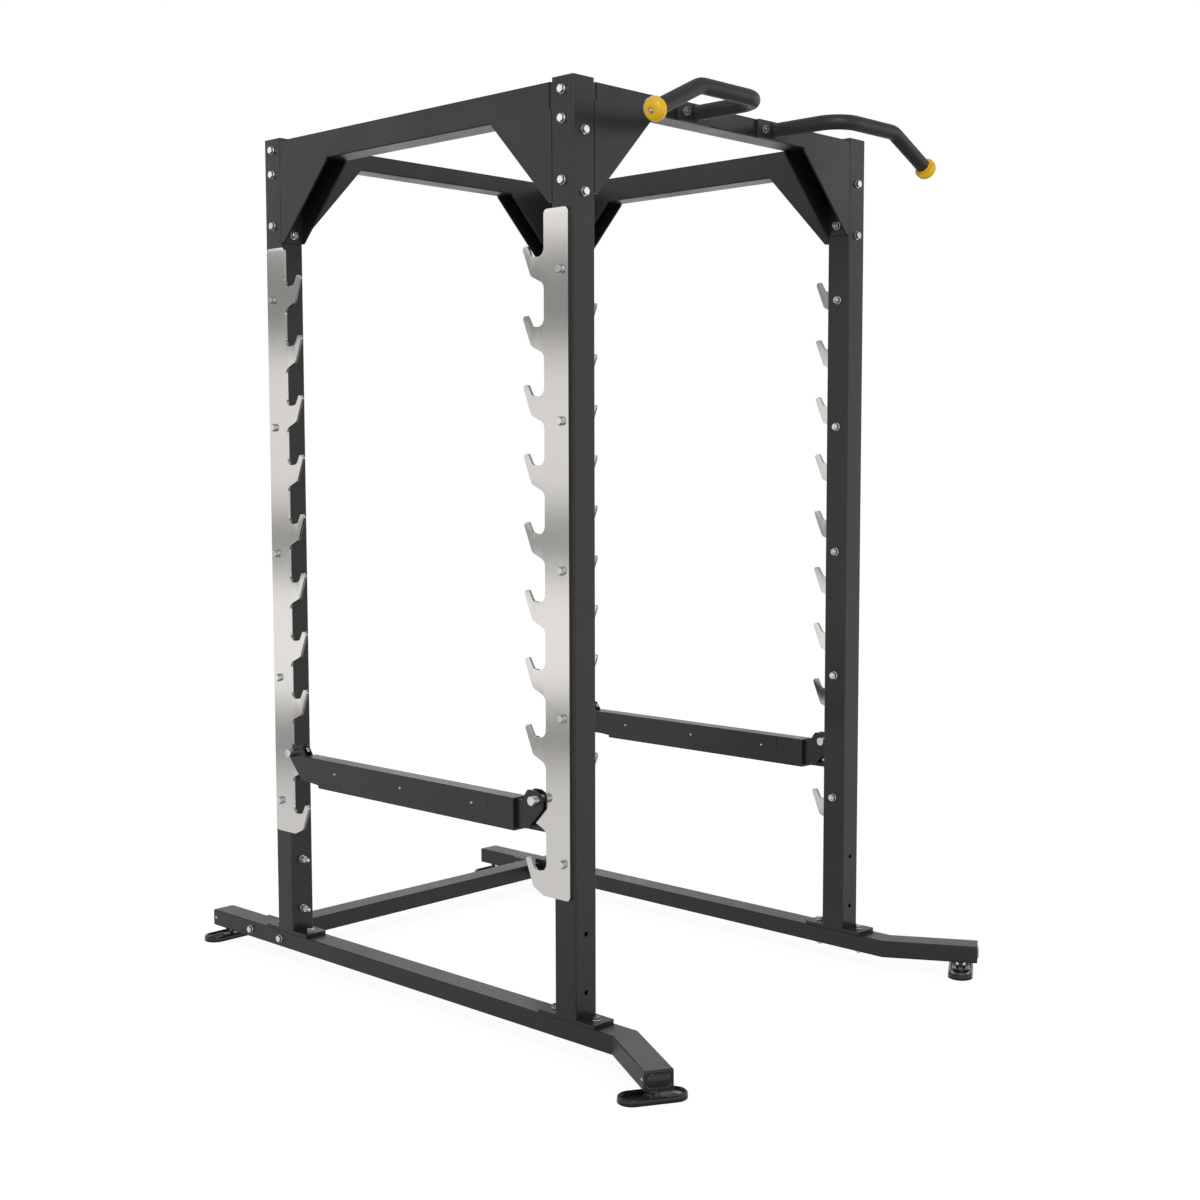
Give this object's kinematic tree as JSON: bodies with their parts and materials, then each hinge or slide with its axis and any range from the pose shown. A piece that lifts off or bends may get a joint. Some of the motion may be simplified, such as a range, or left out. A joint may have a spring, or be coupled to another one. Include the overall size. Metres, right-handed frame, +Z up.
{
  "type": "power cage",
  "caption": "Free-standing power cage: bolted square-tube frame with hooked rack plates, drop-in safety arms, splayed base rails and angled pull-up handles.",
  "frame": {"origin": "on the floor, in the middle of the left-right width and midway between the front-most and rear-most points of the base", "axes": "+X to the user's right as they face the cage from the front, +Y to the rear, +Z up"},
  "size_m": [1.5352, 2.0054, 2.452],
  "materials": {
    "frame_paint": "charcoal powder coat, smooth, half gloss",
    "handle_paint": "charcoal powder coat, fine texture",
    "rack_steel": "stainless plate, fine vertical brushing",
    "pin_steel": "polished round bar",
    "zinc_plate": "bright zinc plate",
    "gloss_black": "moulded, polished black",
    "dull_black": "moulded, dull black",
    "grip_yellow": "moulded, glossy yellow"
  },
  "bodies": {
    "frame": {"base_bolts": "zinc_plate", "base_cross_member": "frame_paint", "base_nuts": "zinc_plate", "base_rail_left": "frame_paint", "base_rail_right": "frame_paint", "base_washers": "zinc_plate", "beam_bolts": "zinc_plate", "beam_nuts": "zinc_plate", "beam_washers": "zinc_plate", "cross_member_bolts": "zinc_plate", "cross_member_nuts": "zinc_plate", "cross_member_washers": "zinc_plate", "foot_lock_nuts": "zinc_plate", "foot_studs": "zinc_plate", "foot_weld_nuts": "zinc_plate", "front_beam": "frame_paint", "handle_bolts": "zinc_plate", "handle_knob_screws": "zinc_plate", "handle_knobs": "grip_yellow", "handle_nuts": "zinc_plate", "handle_washers": "zinc_plate", "pull_up_handle_left": "handle_paint", "pull_up_handle_right": "handle_paint", "rack_bolts": "zinc_plate", "rack_nuts": "zinc_plate", "rack_plate_front_left": "rack_steel", "rack_plate_front_right": "rack_steel", "rack_plate_rear_left": "rack_steel", "rack_plate_rear_right": "rack_steel", "rack_washers": "zinc_plate", "rail_cap_screws": "zinc_plate", "rail_end_caps": "gloss_black", "rear_beam": "frame_paint", "rear_upright_bolts": "zinc_plate", "rear_upright_nuts": "zinc_plate", "rear_upright_washers": "zinc_plate", "side_beam_left": "frame_paint", "side_beam_right": "frame_paint", "upright_front_left": "frame_paint", "upright_front_right": "frame_paint", "upright_rear_left": "frame_paint", "upright_rear_right": "frame_paint", "upright_top_caps": "dull_black"},
    "safety_arm_left": {"safety_arm_left": "frame_paint", "safety_pins_left": "pin_steel", "safety_arm_screws_left": "zinc_plate"},
    "safety_arm_right": {"safety_arm_right": "frame_paint", "safety_pins_right": "pin_steel", "safety_arm_screws_right": "zinc_plate"},
    "foot_pad_front_left": {"foot_pad_front_left": "gloss_black"},
    "foot_pad_front_right": {"foot_pad_front_right": "gloss_black"},
    "foot_pad_rear_left": {"foot_pad_rear_left": "gloss_black"},
    "foot_pad_rear_right": {"foot_pad_rear_right": "gloss_black"}
  },
  "joints": [
    {"name": "safety_arm_left_lift", "type": "slide", "parent": "frame", "child": "safety_arm_left", "axis": [0, 0, 1], "range_m": [0, 0.08]},
    {"name": "safety_arm_right_lift", "type": "slide", "parent": "frame", "child": "safety_arm_right", "axis": [0, 0, 1], "range_m": [0, 0.08]},
    {"name": "foot_pad_front_left_swivel", "type": "hinge", "parent": "frame", "child": "foot_pad_front_left", "pos_m": [-0.687, -0.94095, 0], "axis": [0, 0, 1], "continuous": true},
    {"name": "foot_pad_front_right_swivel", "type": "hinge", "parent": "frame", "child": "foot_pad_front_right", "pos_m": [0.687, -0.94095, 0], "axis": [0, 0, 1], "continuous": true},
    {"name": "foot_pad_rear_left_swivel", "type": "hinge", "parent": "frame", "child": "foot_pad_rear_left", "pos_m": [-0.5775, 0.96671, 0], "axis": [0, 0, 1], "continuous": true},
    {"name": "foot_pad_rear_right_swivel", "type": "hinge", "parent": "frame", "child": "foot_pad_rear_right", "pos_m": [0.5775, 0.96671, 0], "axis": [0, 0, 1], "continuous": true}
  ]
}
